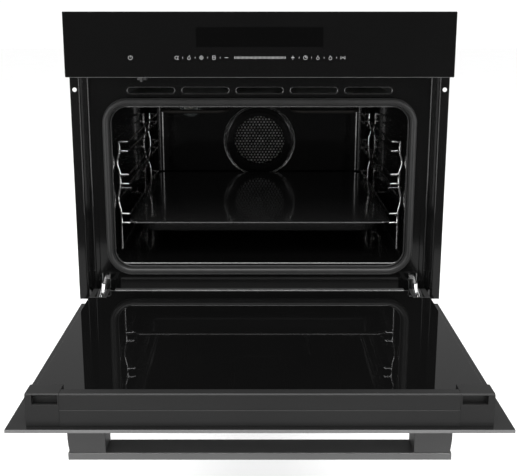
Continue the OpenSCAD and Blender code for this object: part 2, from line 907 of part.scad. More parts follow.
// Channel in the door whose two cheeks turn on the arm's pin
module hinge_body(side) {
    x0 = hinge_x - 5.6;
    x1 = hinge_x + 5.2;
    color([0.6, 0.6, 0.62])
        open_door() on_side(side) {
            difference() {
                for (x = [x0, x1])
                    along_x(x, 2) {
                        circle(7.5);
                        polygon([[-19.5, 12], [-19.5, 112], [2, 112], [2, 24], [7, 3], [-4, -7]]);
                    }
                rod_x(0, 0, pin_r + run_gap, x0 - 1, x1 + 3);
            }
            block([x0 + 2 - eps, -19.5, 14], [x1 + eps, -18, 112]);
            block([x0 + 2 - eps, -18, 110], [x1 + eps, 2, 112]);
        }
}

module hinge_body_left() hinge_body(-1);
module hinge_body_right() hinge_body(1);

module hinge_spring(side) {
    turns = 6;
    steps = 12 * turns;
    path = [
        for (i = [0 : steps])
            let (a = 360 * turns * i / steps)
                [hinge_x + 0.6 + 3 * cos(a), -9 + 3 * sin(a), 76 + 32 * i / steps]
    ];
    color([0.7, 0.7, 0.7]) open_door() on_side(side) wire(path, 0.8, 5);
}

module hinge_spring_left() hinge_spring(-1);
module hinge_spring_right() hinge_spring(1);

// ---- door ----

module door_outer_glass() {
    color([0.03, 0.03, 0.035])
        open_door() along_y(outer_w, glass_t)
            translate([0, (glass_top - pin_up) / 2]) round_rect(front_w, door_h, 1.5);
}

module door_middle_glass() {
    color([0.4, 0.45, 0.45, 0.5])
        open_door() block([-notch_x + 2, -9, 16], [notch_x - 2, -5.8, rail_u0 - 8]);
}

module door_inner_glass() {
    x = door_body_w / 2;
    tongue_x = x - cap_w - 0.3;
    color([0.06, 0.065, 0.07])
        open_door() along_y(inner_w - glass_t, glass_t)
            polygon([
                [-notch_x, 6], [notch_x, 6], [notch_x, notch_u], [x, notch_u],
                [x, rail_u0], [tongue_x, rail_u0], [tongue_x, rail_mid_u0],
                [-tongue_x, rail_mid_u0], [-tongue_x, rail_u0], [-x, rail_u0],
                [-x, notch_u], [-notch_x, notch_u],
            ]);
}

// Side-on outline of the top rail: outer face, end face, ridge, step behind the glass edge
function rail_outline(u0) = [
    [body_w0, u0 + 0.1], [body_w0, rail_u1], [ridge_w - 1.5, rail_u1],
    [ridge_w, rail_u1 - 1.5], [ridge_w, u0 + 1.1], [ridge_w - 1, u0 + 0.1],
];

module door_top_rail() {
    x = door_body_w / 2 - cap_w;
    back = rail_mid_u0;
    end = rail_u1 - rail_wall;
    lip = [20.5, 1];
    color([0.2, 0.2, 0.21])
        open_door() {
            difference() {
                along_x(-x, 2 * x) polygon(rail_outline(back));
                along_x(-x - 1, 2 * x + 2)
                    polygon([
                        [body_w0 + rail_wall, back - 1], [body_w0 + rail_wall, end],
                        [ridge_w - rail_wall, end], [ridge_w - rail_wall, back + rail_wall],
                        [inner_w - rail_wall, back + rail_wall], [inner_w - rail_wall, back - 1],
                    ]);
            }
            block([-x, body_w0, rail_u1], [x, body_w0 + lip[0], rail_u1 + lip[1]]);
        }
}

module rail_cap(side) {
    x1 = door_body_w / 2;
    x0 = x1 - cap_w;
    color([0.16, 0.16, 0.17])
        open_door() on_side(side)
            difference() {
                along_x(x0, cap_w) polygon(rail_outline(rail_u0));
                block([x0 + 2, ridge_w - 13.5, rail_u1 - 7], [x1 - 8, ridge_w - 2, rail_u1 + 1]);
            }
}

module rail_cap_left() rail_cap(-1);
module rail_cap_right() rail_cap(1);

module door_side(side) {
    x1 = door_body_w / 2;
    color([0.16, 0.16, 0.17])
        open_door() on_side(side)
            union() {
                difference() {
                    block([x1 - 7, body_w0, -3], [x1, inner_w - glass_t - 0.1, rail_u0]);
                    block([x1 - 8, body_w0 + 2, 4], [x1 - 1.5, inner_w - glass_t - 2, rail_u0 - 4]);
                }
                block([x1 - 7, inner_w - glass_t - 1, -3], [x1, inner_w - 1, notch_u - 0.3]);
                difference() {
                    block([notch_x + 0.3, inner_w - 1.5, -3], [x1, inner_w, notch_u - 0.3]);
                    block([slot_x0, inner_w - 2, -4], [slot_x1, inner_w + 1, slot_u]);
                }
            }
}

module door_side_left() door_side(-1);
module door_side_right() door_side(1);

// Bright channel that closes the hinge edge of the door
module door_bottom_strip() {
    x = 238;
    color([0.75, 0.75, 0.76])
        open_door()
            difference() {
                block([-x, body_w0, -3], [x, inner_w + 1, 6]);
                block([-x - 1, body_w0 + 1.2, -1.8], [x + 1, inner_w - 0.2, 7]);
            }
}

// ---- handle ----

module handle_bar() {
    y0 = outer_w - handle_out;
    color([0.34, 0.35, 0.36])
        open_door() along_x(-handle_w / 2, handle_w)
            translate([y0 + handle_t / 2, handle_u]) round_rect(handle_t, handle_h, 1.2);
}

module handle_posts() {
    y0 = outer_w - handle_out + handle_t;
    color([0.34, 0.35, 0.36])
        open_door() for (s = [-1, 1]) on_side(s)
            block([handle_w / 2 - post_w, y0, handle_u - handle_h / 2],
                [handle_w / 2, outer_w, handle_u + handle_h / 2]);
}

module housing_screws() {
    head_r = 4;
    head_h = 2.4;
    side_x = chassis_w / 2;
    color([0.8, 0.8, 0.8]) {
        for (x = [-250, -90, 90, 250], z = [floor_z + 14, roof_z - 12])
            rod_y(x, z, head_r, back_y, back_y + head_h);
        for (s = [-1, 1], y = [60, 300, 530], z = [floor_z + 60, roof_z - 12])
            rod_x(y, z, head_r, s > 0 ? side_x : -side_x - head_h,
                s > 0 ? side_x + head_h : -side_x);
    }
}

// ---- assembly ----

control_glass();
display_module();
control_board();
panel_carrier();
flange_left();
flange_right();
fascia();
door_seal();
door_sensor();
cavity_wrapper();
cavity_back();
fan_cover();
convection_fan();
fan_motor();
ring_heater();
grill_element();
bottom_heater();
lamp_cover();
lamp_bulb();
lamp_holder();
temperature_probe();
rack_left();
rack_right();
baking_tray();
insulation_wrap();
insulation_rear();
side_panel_left();
side_panel_right();
base_plate();
top_cover();
back_panel();
cable_inlet();
terminal_block();
air_duct();
blower_housing();
blower_wheel();
blower_motor();
power_board();
hinge_arm_left();
hinge_arm_right();
hinge_latch_left();
hinge_latch_right();
hinge_strap_left();
hinge_strap_right();
hinge_body_left();
hinge_body_right();
hinge_spring_left();
hinge_spring_right();
door_outer_glass();
door_middle_glass();
door_inner_glass();
door_top_rail();
rail_cap_left();
rail_cap_right();
door_side_left();
door_side_right();
door_bottom_strip();
handle_bar();
handle_posts();
housing_screws();
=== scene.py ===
"""Looks of a built-in oven with its door open: control head, cavity, racks, tray, door, housing."""

import json
from math import cos, pi, radians, sin

import bmesh
import bpy
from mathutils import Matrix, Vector

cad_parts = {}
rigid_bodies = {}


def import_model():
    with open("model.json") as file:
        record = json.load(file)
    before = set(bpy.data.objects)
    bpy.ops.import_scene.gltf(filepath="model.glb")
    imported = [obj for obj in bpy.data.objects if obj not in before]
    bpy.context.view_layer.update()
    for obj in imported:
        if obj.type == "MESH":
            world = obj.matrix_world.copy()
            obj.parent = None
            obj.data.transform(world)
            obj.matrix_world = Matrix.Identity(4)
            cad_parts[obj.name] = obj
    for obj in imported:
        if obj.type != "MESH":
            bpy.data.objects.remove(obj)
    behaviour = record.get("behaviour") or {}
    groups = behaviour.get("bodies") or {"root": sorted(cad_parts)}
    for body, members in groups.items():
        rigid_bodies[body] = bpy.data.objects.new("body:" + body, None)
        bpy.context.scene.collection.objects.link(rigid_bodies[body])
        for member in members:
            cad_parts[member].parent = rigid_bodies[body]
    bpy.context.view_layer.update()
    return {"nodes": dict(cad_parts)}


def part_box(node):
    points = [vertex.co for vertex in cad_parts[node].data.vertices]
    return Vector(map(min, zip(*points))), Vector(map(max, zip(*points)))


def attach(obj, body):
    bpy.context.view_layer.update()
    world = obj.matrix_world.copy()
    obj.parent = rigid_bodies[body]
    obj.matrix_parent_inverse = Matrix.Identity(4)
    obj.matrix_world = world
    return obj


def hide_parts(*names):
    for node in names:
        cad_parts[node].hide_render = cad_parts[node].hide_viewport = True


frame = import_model()
MM = 0.001
X, Y, Z = Vector((1, 0, 0)), Vector((0, 1, 0)), Vector((0, 0, 1))


def mm(x, y, z):
    return Vector((x, y, z)) * MM


# ---------------------------------------------------------------- workbench


def clear():
    """Leaves edit mode and deselects everything."""
    if bpy.context.object and bpy.context.object.mode != "OBJECT":
        bpy.ops.object.mode_set(mode="OBJECT")
    bpy.ops.object.select_all(action="DESELECT")


def take(*objects):
    """Selects these objects only, the first one active."""
    clear()
    for obj in objects:
        obj.select_set(True)
    bpy.context.view_layer.objects.active = objects[0]


def level(part, axis, value, slack=1e-5):
    """True if every corner of the part lies at that value along the axis."""
    corners = [part] if isinstance(part, bmesh.types.BMVert) else part.verts
    return all(abs(corner.co[axis] - value) < slack for corner in corners)


def runs(edge, axis):
    """True if the edge runs along that axis."""
    way = edge.verts[1].co - edge.verts[0].co
    return abs(way[axis]) > 0.999 * way.length


class Bench:
    """A mesh under work in edit mode, starting from one primitive at its size and place."""

    def __init__(self, kind, **place):
        clear()
        getattr(bpy.ops.mesh, "primitive_" + kind + "_add")(**place)
        bpy.ops.object.transform_apply(location=True, rotation=True, scale=True)
        self.open(bpy.context.object)

    def open(self, obj):
        self.obj = obj
        bpy.ops.object.mode_set(mode="EDIT")
        bpy.ops.mesh.select_all(action="SELECT")
        return self

    def pick(self, what, test):
        """Selects only the verts, edges or faces that pass the test."""
        bpy.ops.mesh.select_mode(type={"verts": "VERT", "edges": "EDGE", "faces": "FACE"}[what])
        bpy.ops.mesh.select_all(action="DESELECT")
        mesh = bmesh.from_edit_mesh(self.obj.data)
        for part in getattr(mesh, what):
            if test(part):
                part.select_set(True)
        bmesh.update_edit_mesh(self.obj.data)
        return self

    def bevel(self, width, segments=2, corners=False):
        bpy.ops.mesh.bevel(
            offset=width, segments=segments, affect="VERTICES" if corners else "EDGES",
            clamp_overlap=True,
        )
        return self

    def inset(self, thickness, depth):
        bpy.ops.mesh.inset(thickness=thickness, depth=depth)
        return self

    def extrude(self, way):
        bpy.ops.mesh.extrude_region_move(TRANSFORM_OT_translate={"value": tuple(way)})
        return self

    def move(self, way):
        bpy.ops.transform.translate(value=tuple(way))
        return self

    def scale(self, factors, centre):
        bpy.ops.transform.resize(value=tuple(factors), center_override=tuple(centre))
        return self

    def spin(self, angle, centre, axis, steps):
        bpy.ops.mesh.spin(steps=steps, angle=-angle, center=tuple(centre), axis=tuple(axis))
        return self

    def delete(self, what="FACE"):
        bpy.ops.mesh.delete(type=what)
        return self

    def cut(self, point, normal):
        """Adds a ring of edges where a plane crosses the whole mesh."""
        bpy.ops.mesh.select_mode(type="FACE")
        bpy.ops.mesh.select_all(action="SELECT")
        bpy.ops.mesh.bisect(plane_co=tuple(point), plane_no=tuple(normal))
        return self

    def close(self):
        """Joins doubled corners, turns the faces outwards and leaves edit mode."""
        bpy.ops.mesh.select_mode(type="VERT")
        bpy.ops.mesh.select_all(action="SELECT")
        bpy.ops.mesh.remove_doubles(threshold=2e-6)
        bpy.ops.mesh.normals_make_consistent(inside=False)
        bpy.ops.object.mode_set(mode="OBJECT")
        return self.obj


def block(low, high):
    """A bench with a box from corner to corner."""
    low, high = Vector(low), Vector(high)
    return Bench("cube", size=1, location=(low + high) / 2, scale=high - low)


def modify(obj, kind, **settings):
    """Adds one modifier and applies it."""
    take(obj)
    modifier = obj.modifiers.new(kind.lower(), kind)
    for key, value in settings.items():
        setattr(modifier, key, value)
    bpy.ops.object.modifier_apply(modifier=modifier.name)
    return obj


def walled(obj, thickness, outwards=1, even=True):
    return modify(obj, "SOLIDIFY", thickness=thickness, offset=outwards, use_even_offset=even)


def rounded(obj, width, segments=2, angle=30):
    return modify(
        obj, "BEVEL", width=width, segments=segments, limit_method="ANGLE",
        angle_limit=radians(angle), miter_outer="MITER_ARC",
    )


def copied(obj):
    """A second piece with a mesh of its own."""
    copy = obj.copy()
    copy.data = obj.data.copy()
    bpy.context.scene.collection.objects.link(copy)
    return copy


def settled(*objects):
    """Bakes place, turn and scale into each mesh, so its object stands at the origin."""
    take(*objects)
    bpy.ops.object.transform_apply(location=True, rotation=True, scale=True)


def faced(obj, merge=0):
    """Turns the faces outwards, after joining corners closer than the merge distance."""
    take(obj)
    bpy.ops.object.mode_set(mode="EDIT")
    bpy.ops.mesh.select_all(action="SELECT")
    if merge:
        bpy.ops.mesh.remove_doubles(threshold=merge)
    bpy.ops.mesh.normals_make_consistent(inside=False)
    bpy.ops.object.mode_set(mode="OBJECT")
    return obj


def pierced(obj, *tools):
    """Cuts tool shapes out of a piece and throws the tools away."""
    for tool in tools:
        modify(obj, "BOOLEAN", operation="DIFFERENCE", solver="EXACT", object=tool)
        bpy.data.objects.remove(tool, do_unlink=True)
    return obj


def joined(objects):
    take(*objects)
    bpy.ops.object.join()
    return bpy.context.object


def repeated(obj, moves):
    """Copies a shape to each place, each copy with its own mesh, and drops the pattern."""
    copies = []
    for way in moves:
        copy = copied(obj)
        copy.location = way
        copies.append(copy)
    bpy.data.objects.remove(obj, do_unlink=True)
    settled(*copies)
    return joined(copies)


def mirrored(obj):
    """A second piece on the other side of the oven's middle plane."""
    copy = copied(obj)
    copy.scale.x = -1
    settled(copy)
    return faced(copy)


def finished(obj, name, body, paint, *replaced, smooth=35):
    """Names a piece, smooths it, paints it, and sets what it rides on and stands for."""
    take(obj)
    if smooth:
        bpy.ops.object.shade_smooth_by_angle(angle=radians(smooth))
        modify(obj, "WEIGHTED_NORMAL", keep_sharp=True, weight=80)
    obj.name = obj.data.name = name
    obj.data.materials.clear()
    obj.data.materials.append(paint.material)
    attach(obj, body)
    if replaced:
        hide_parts(*replaced)
    return obj


def machined(node, width, paint, segments=2, angle=30, smooth=35):
    """The CAD solid with its triangles joined and its sharp edges broken."""
    source = frame["nodes"][node]
    body = source.parent.name.removeprefix("body:")
    copy = copied(source)
    copy.parent = None
    copy.matrix_world = source.matrix_world.copy()
    settled(copy)
    bpy.ops.object.mode_set(mode="EDIT")
    bpy.ops.mesh.select_all(action="SELECT")
    bpy.ops.mesh.remove_doubles(threshold=5e-6)
    bpy.ops.mesh.dissolve_limited(angle_limit=radians(0.5))
    bpy.ops.object.mode_set(mode="OBJECT")
    if width:
        rounded(copy, width, segments, angle)
    return finished(copy, node + "_skin", body, paint, node, smooth=smooth)


def painted(node, paint):
    """A CAD node that keeps its shape and takes a finish."""
    obj = frame["nodes"][node]
    obj.data.materials.clear()
    obj.data.materials.append(paint.material)


def turned(centre, axis, profile, sides=64):
    """A round shape: a circle extruded and scaled through each (radius, way) of its profile."""
    centre = Vector(centre)
    turn = {0: (0, pi / 2, 0), 1: (pi / 2, 0, 0), 2: (0, 0, 0)}[axis]
    arm = (X, Y, Z)[axis]
    radius, along = profile[0]
    work = Bench(
        "circle", vertices=sides, radius=radius, rotation=turn, location=centre + arm * along
    )
    for next_radius, next_along in profile[1:]:
        work.extrude(arm * (next_along - along))
        spread = next_radius / radius
        factors = [spread] * 3
        factors[axis] = 1
        work.scale(factors, centre + arm * next_along)
        radius, along = next_radius, next_along
    return work


def hoop(half_w, half_h, corner, centre, radius, sides=16, steps=10, squash=1.0, up=Z):
    """A round section carried round a rectangle with turned corners, upright or lying down."""
    centre = Vector(centre)
    work = Bench(
        "circle", vertices=sides, radius=radius, rotation=(0, pi / 2, 0),
        location=centre - up * half_h - X * (half_w - corner),
    )
    if squash != 1.0:
        work.scale((1, squash, 1), centre)
    for ahead, side, run in ((X, up, half_w), (up, -X, half_h), (-X, -up, half_w), (-up, X, half_h)):
        work.extrude(ahead * 2 * (run - corner))
        reach = half_h if run == half_w else half_w
        pivot = centre + ahead * (run - corner) - side * (reach - corner)
        work.spin(pi / 2, pivot, X.cross(up), steps)
    return work


# ---------------------------------------------------------------- finishes


class Value:
    """A number that varies over a surface. Arithmetic on it adds Math nodes."""

    def __init__(self, paint, socket):
        self.paint, self.socket = paint, socket

    def sum(self, operation, first, second):
        return self.paint.add("Math", {"operation": operation}, {0: first, 1: second})

    def __add__(self, other):
        return self.sum("ADD", self, other)

    def __mul__(self, other):
        return self.sum("MULTIPLY", self, other)

    __radd__, __rmul__ = __add__, __mul__


class Paint:
    """One finish: a Principled shader, and the nodes that vary it over the surface."""

    def __init__(self, slot, name=None, **constants):
        self.slot = slot
        self.material = bpy.data.materials.new(name or slot)
        self.material.use_nodes = True
        self.tree = self.material.node_tree
        self.shader = self.tree.nodes["Principled BSDF"]
        for key, value in constants.items():
            self.shader.inputs[key.replace("_", " ").title().replace("Ior", "IOR")].default_value = value
        self.spot = self.add("TexCoord", {}, {}, "Object")

    def add(self, kind, settings, inputs, output=0):
        """One node: its settings first, then the values or links of its sockets."""
        node = self.tree.nodes.new("ShaderNode" + kind)
        for key, value in settings.items():
            setattr(node, key, value)
        for key, value in inputs.items():
            if isinstance(value, Value):
                self.tree.links.new(value.socket, node.inputs[key])
            else:
                node.inputs[key].default_value = value
        return Value(self, node.outputs[output])

    def stretched(self, x, y, z):
        """Object coordinates scaled along each axis."""
        return self.add("Mapping", {}, {"Vector": self.spot, "Scale": (x, y, z)})

    def noise(self, scale, detail=2.0, rough=0.5, stretch=(1, 1, 1)):
        return self.add(
            "TexNoise", {}, {"Vector": self.stretched(*stretch), "Scale": scale,
                             "Detail": detail, "Roughness": rough},
        )

    def cells(self, scale, output="Distance"):
        return self.add(
            "TexVoronoi", {"feature": "F1"},
            {"Vector": self.stretched(1, 1, 1), "Scale": scale}, output,
        )

    def between(self, value, low, high):
        """A value spread so that low becomes 0 and high becomes 1, clamped."""
        return self.add(
            "MapRange", {"clamp": True},
            {"Value": value, "From Min": low, "From Max": high, "To Min": 0.0, "To Max": 1.0},
        )

    def mixed(self, mask, first, second):
        """One colour turning into another by a mask."""
        pair = [colour if isinstance(colour, Value) else (*colour, 1) for colour in (first, second)]
        return self.add("Mix", {"data_type": "RGBA"}, {0: mask, 6: pair[0], 7: pair[1]}, 2)

    def show(self, **varying):
        """Links values to the shader's sockets."""
        for key, value in varying.items():
            socket = self.shader.inputs[key.replace("_", " ").title()]
            self.tree.links.new(value.socket, socket)
        return self

    def relief(self, height, distance, strength=1.0):
        """Bump of that height, in metres from low to high."""
        bump = self.add(
            "Bump", {}, {"Strength": strength, "Distance": distance, "Height": height}, "Normal"
        )
        self.tree.links.new(bump.socket, self.shader.inputs["Normal"])
        return self


def grey(level, warm=0.0):
    return (level * (1 + warm), level, level * (1 - warm))


def glass_paint(slot, name, base, sheen, index):
    """Printed glass: near black, wiped clean but for a faint haze."""
    paint = Paint(slot, name, roughness=sheen, ior=index)
    haze = paint.noise(6.0, 3.0, 0.6)
    wipe = paint.noise(30.0, 2.0, 0.5, (1, 1, 4))
    paint.show(
        base_color=paint.mixed(haze, grey(base * 0.85), grey(base * 1.2)),
        roughness=sheen + paint.between(wipe, 0.45, 0.75) * (sheen * 0.6),
    )
    return paint


def enamel_paint(slot, name, base, sheen, peel):
    """Fired enamel: orange peel in the gloss and fine pale specks."""
    paint = Paint(slot, name, roughness=sheen, coat_weight=0.35, coat_roughness=0.06)
    specks = paint.between(paint.cells(900.0), 0.10, 0.04)
    cloud = paint.noise(9.0, 3.0)
    tone = paint.mixed(cloud, grey(base * 0.8), grey(base * 1.2))
    paint.show(
        base_color=paint.mixed(specks * 0.35, tone, grey(base * 5)),
        roughness=sheen + cloud * (sheen * 0.4),
    )
    return paint.relief(paint.noise(240.0, 2.0, 0.4), peel)


def metal_paint(slot, name, base, sheen, grain, scratch, warm=0.0, depth=0.00002):
    """Bare or plated metal, with a directional grain and some scattered scratches."""
    paint = Paint(slot, name, metallic=1.0)
    lines = paint.noise(grain, 3.0, 0.6, scratch)
    cloud = paint.noise(14.0, 3.0)
    paint.show(
        base_color=paint.mixed(lines * 0.6 + cloud * 0.4, grey(base * 0.8, warm), grey(base * 1.1, warm)),
        roughness=sheen + lines * (sheen * 0.7) + cloud * 0.05,
    )
    return paint.relief(lines, depth)


def moulded_paint(slot, name, base, sheen, grain=1400.0, depth=0.00003):
    """Moulded plastic with a fine spark-eroded grain."""
    paint = Paint(slot, name)
    pits = paint.noise(grain, 2.0, 0.6)
    cloud = paint.noise(11.0, 3.0)
    paint.show(
        base_color=paint.mixed(cloud, grey(base * 0.9), grey(base * 1.12)),
        roughness=sheen + pits * 0.12,
    )
    return paint.relief(pits, depth)


panel_glass = glass_paint("black_glass", "panel_glass", 0.0030, 0.06, 1.45)
door_glass = glass_paint("black_glass", "door_glass", 0.010, 0.12, 1.5)
mirror_glass = glass_paint("inner_glass", "mirror_glass", 0.003, 0.015, 1.7)
screen_glass = glass_paint("black_glass", "screen_glass", 0.0015, 0.03, 1.35)
cavity_enamel = enamel_paint("black_enamel", "cavity_enamel", 0.0025, 0.08, 0.00004)
tray_enamel = enamel_paint("black_enamel", "tray_enamel", 0.009, 0.09, 0.00003)
front_enamel = enamel_paint("front_enamel", "front_enamel", 0.0035, 0.09, 0.00002)
zinc = metal_paint("zinc_steel", "zinc", 0.58, 0.26, 60.0, (1, 12, 1))
chrome = metal_paint("chrome_wire", "chrome", 0.82, 0.10, 80.0, (1, 1, 6))
heater = metal_paint("heater_tube", "heater", 0.05, 0.48, 90.0, (1, 1, 1), 0.06)
cast = metal_paint("cast_aluminium", "cast", 0.70, 0.34, 200.0, (1, 1, 1))
cast.shader.inputs["Metallic"].default_value = 0.45
motor = metal_paint("motor_steel", "motor", 0.28, 0.40, 120.0, (1, 1, 1))
# The handle's posts take a darker copy of the bar's brushed metal: painted shade on the posts.
brushed = metal_paint("graphite_metal", "brushed", 0.22, 0.34, 260.0, (0.02, 1, 1), 0.0, 0.00003)
bar_metal = metal_paint("graphite_metal", "bar_metal", 0.42, 0.30, 260.0, (0.02, 1, 1), 0.0, 0.00003)
# A darker copy of the zinc finish: painted shade on the hinge bodies and the door sensor.
dull_zinc = metal_paint("zinc_steel", "dull_zinc", 0.20, 0.36, 60.0, (1, 12, 1))
rail_grey = moulded_paint("rail_plastic", "rail_grey", 0.011, 0.40)
soft_black = moulded_paint("black_plastic", "soft_black", 0.018, 0.45)


def galvanised_paint():
    """Hot-dipped sheet: angular spangle, each grain at its own tone and gloss."""
    spangle = 170.0
    paint = Paint("galvanised_steel", "galvanised", metallic=0.9)
    grains = paint.cells(spangle, "Color")
    tone = paint.add("SeparateColor", {}, {"Color": grains}, "Red")
    cloud = paint.noise(5.0, 3.0)
    paint.show(
        base_color=paint.mixed(tone * 0.7 + cloud * 0.3, grey(0.44, -0.01), grey(0.58, -0.01)),
        roughness=0.36 + tone * 0.10 + cloud * 0.06,
    )
    return paint.relief(paint.cells(spangle), 0.00002, 0.5)


def painted_highlight_paint(slot, name, base):
    """Painted highlight: pale, part-metallic enamel for beads and lips, much lighter than the sheet beside
    them, so each round shows a bright line.
    """
    paint = Paint(slot, name, coat_weight=0.6, coat_roughness=0.05)
    # The mottle varies the painted highlight's tone, metal and gloss at random.
    highlight_mottle = paint.noise(70.0, 3.0)
    return paint.show(
        base_color=paint.mixed(highlight_mottle, grey(base * 0.8), grey(base * 1.2)),
        metallic=0.55 + highlight_mottle * 0.3, roughness=0.16 + highlight_mottle * 0.10,
    )


def glass_edge_highlight_paint():
    """Painted highlight: a paler strip along a glass sheet's edge, standing in for the light that the edge
    catches.
    """
    paint = Paint("black_glass", "ground_edge")
    grain = paint.noise(600.0, 2.0)
    return paint.show(
        base_color=paint.mixed(grain, grey(0.10), grey(0.15)), roughness=0.30 + grain * 0.15
    )


def seal_paint():
    """Cured silicone: matt, faintly dusty, with a fine extrusion grain."""
    paint = Paint("seal_silicone", "seal_grey", sheen_weight=0.10, sheen_roughness=0.4)
    dust = paint.noise(40.0, 3.0)
    ribs = paint.noise(500.0, 2.0)
    paint.show(
        base_color=paint.mixed(dust, grey(0.012), grey(0.022)),
        roughness=0.34 + dust * 0.12,
    )
    return paint.relief(ribs, 0.00004)


def board_paint():
    """Solder mask over copper tracks."""
    paint = Paint("circuit_board", "board", roughness=0.35)
    tracks = paint.add(
        "TexBrick", {"offset": 0.5}, {"Vector": paint.spot, "Scale": 120.0, "Mortar Size": 0.02},
        "Fac",
    )
    pads = paint.between(paint.cells(300.0), 0.12, 0.08)
    mask = paint.mixed(tracks, (0.012, 0.11, 0.05), (0.02, 0.20, 0.09))
    return paint.show(
        base_color=paint.mixed(pads, mask, (0.65, 0.62, 0.50)), metallic=pads * 0.8
    ).relief(tracks, 0.00004)


def wool_paint():
    """Glass wool: matted yellow fibre."""
    paint = Paint("glass_wool", "wool", sheen_weight=0.3)
    fibre = paint.noise(160.0, 5.0, 0.7, (1, 1, 3))
    tuft = paint.noise(30.0, 3.0)
    return paint.show(
        base_color=paint.mixed(fibre * 0.6 + tuft * 0.4, (0.48, 0.40, 0.16), (0.86, 0.80, 0.52)),
        roughness=0.85 + tuft * 0.1,
    ).relief(fibre + tuft, 0.0012)


def ceramic_paint():
    paint = Paint("white_ceramic", "ceramic")
    bite = paint.noise(400.0, 3.0)
    return paint.show(
        base_color=paint.mixed(paint.noise(30.0), (0.66, 0.65, 0.60), (0.80, 0.79, 0.75)),
        roughness=0.45 + bite * 0.2,
    ).relief(bite, 0.00004)


def lamp_paint(slot, name, tint, alpha, glow):
    """Thin lamp glass, a little rippled."""
    paint = Paint(slot, name, roughness=0.05, alpha=alpha, ior=1.5, coat_weight=0.5)
    ripple = paint.noise(90.0, 2.0)
    paint.shader.inputs["Emission Color"].default_value = (*tint, 1)
    paint.shader.inputs["Emission Strength"].default_value = glow
    return paint.show(
        base_color=paint.mixed(ripple, tuple(c * 0.85 for c in tint), tint)
    ).relief(ripple, 0.0002)


def ink_paint():
    """Pale screen-print on the control glass."""
    paint = Paint("black_glass", "pale_ink")
    grainy = paint.noise(2200.0, 2.0)
    return paint.show(
        base_color=paint.mixed(grainy, grey(0.34), grey(0.46)), roughness=0.4 + grainy * 0.1
    )


galvanised = galvanised_paint()
# Painted highlights: pale enamel for the cavity mouth's lip and the fan cover's beads, the vent rims and
# the tray's rolled rim.
bright_edge = painted_highlight_paint("black_enamel", "bright_edge", 0.24)
front_edge = painted_highlight_paint("front_enamel", "front_edge", 0.07)
tray_edge = painted_highlight_paint("black_enamel", "tray_edge", 0.26)
# Painted highlight for the edges of the control glass and the door glass.
ground_edge = glass_edge_highlight_paint()
silicone = seal_paint()
board = board_paint()
wool = wool_paint()
ceramic = ceramic_paint()
lamp_glass = lamp_paint("clear_glass", "lamp_glass", (0.30, 0.33, 0.33), 0.25, 0.0)
bulb_glass = lamp_paint("warm_bulb", "bulb_glass", (0.95, 0.88, 0.70), 0.7, 0.0)
pane_glass = lamp_paint("clear_glass", "pane_glass", (0.30, 0.34, 0.33), 0.5, 0.0)
ink = ink_paint()


# ---------------------------------------------------------------- control head


def make_control_head():
    low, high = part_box("control_glass")
    work = block(low, high)
    work.pick("edges", lambda e: runs(e, 1)).bevel(1.5 * MM, 5)
    work.pick("edges", lambda e: level(e, 1, low.y)).bevel(0.7 * MM, 3)
    work.pick("edges", lambda e: level(e, 1, high.y)).bevel(0.4 * MM, 2)
    finished(work.close(), "control_glass_sheet", "oven", panel_glass, "control_glass")
    # A pale strip along the glass's lower front edge: a painted highlight on that edge.
    strip = block((low.x + 1.6 * MM, low.y + 0.1 * MM, low.z - 0.1 * MM),
                  (high.x - 1.6 * MM, low.y + 1.2 * MM, low.z + 0.5 * MM))
    finished(rounded(strip.close(), 0.15 * MM), "control_glass_edge", "oven", ground_edge)

    low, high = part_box("display_module")
    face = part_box("control_glass")[0].y
    work = block((low.x, face - 0.06 * MM, low.z), (high.x, face + 0.2 * MM, high.z))
    work.pick("edges", lambda e: runs(e, 1)).bevel(1.2 * MM, 3)
    finished(work.close(), "display_window", "oven", screen_glass)


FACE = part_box("control_glass")[0].y
PRINT = 0.10 * MM
ROW = 51 * MM


def bar(x, z, w, h):
    """A printed bar, its middle at x, z from the middle of the icon row."""
    work = block(
        ((x - w / 2) * MM, FACE - PRINT, ROW + (z - h / 2) * MM),
        ((x + w / 2) * MM, FACE + PRINT, ROW + (z + h / 2) * MM),
    )
    return work.close()


def tipped(obj, centre, turn, place):
    """Turns a flat mark about its centre, and moves that centre to its place."""
    obj.location = -centre
    settled(obj)
    obj.rotation_euler.y = turn
    obj.location = place
    settled(obj)
    return obj


def slant(x, z, w, h, turn):
    """A printed bar turned about its middle."""
    obj = bar(0, 0, w, h)
    return tipped(obj, Z * ROW, radians(turn), mm(x, 0, z) + Z * ROW)


def bow(x, z, radius, start, sweep, width=0.5):
    """A printed arc: a short block spun about its centre."""
    centre = mm(x, 0, z) + Z * ROW
    from_side = (centre.x + (radius - width / 2) * MM, FACE - PRINT, centre.z - 0.02 * MM)
    to_side = (centre.x + (radius + width / 2) * MM, FACE + PRINT, centre.z)
    work = block(from_side, to_side)
    work.pick("faces", lambda f: f.normal.z > 0.9)
    steps = max(4, int(abs(sweep) / 18))
    work.spin(radians(-sweep), centre, Y, steps)
    return tipped(work.close(), centre, radians(-start), centre)


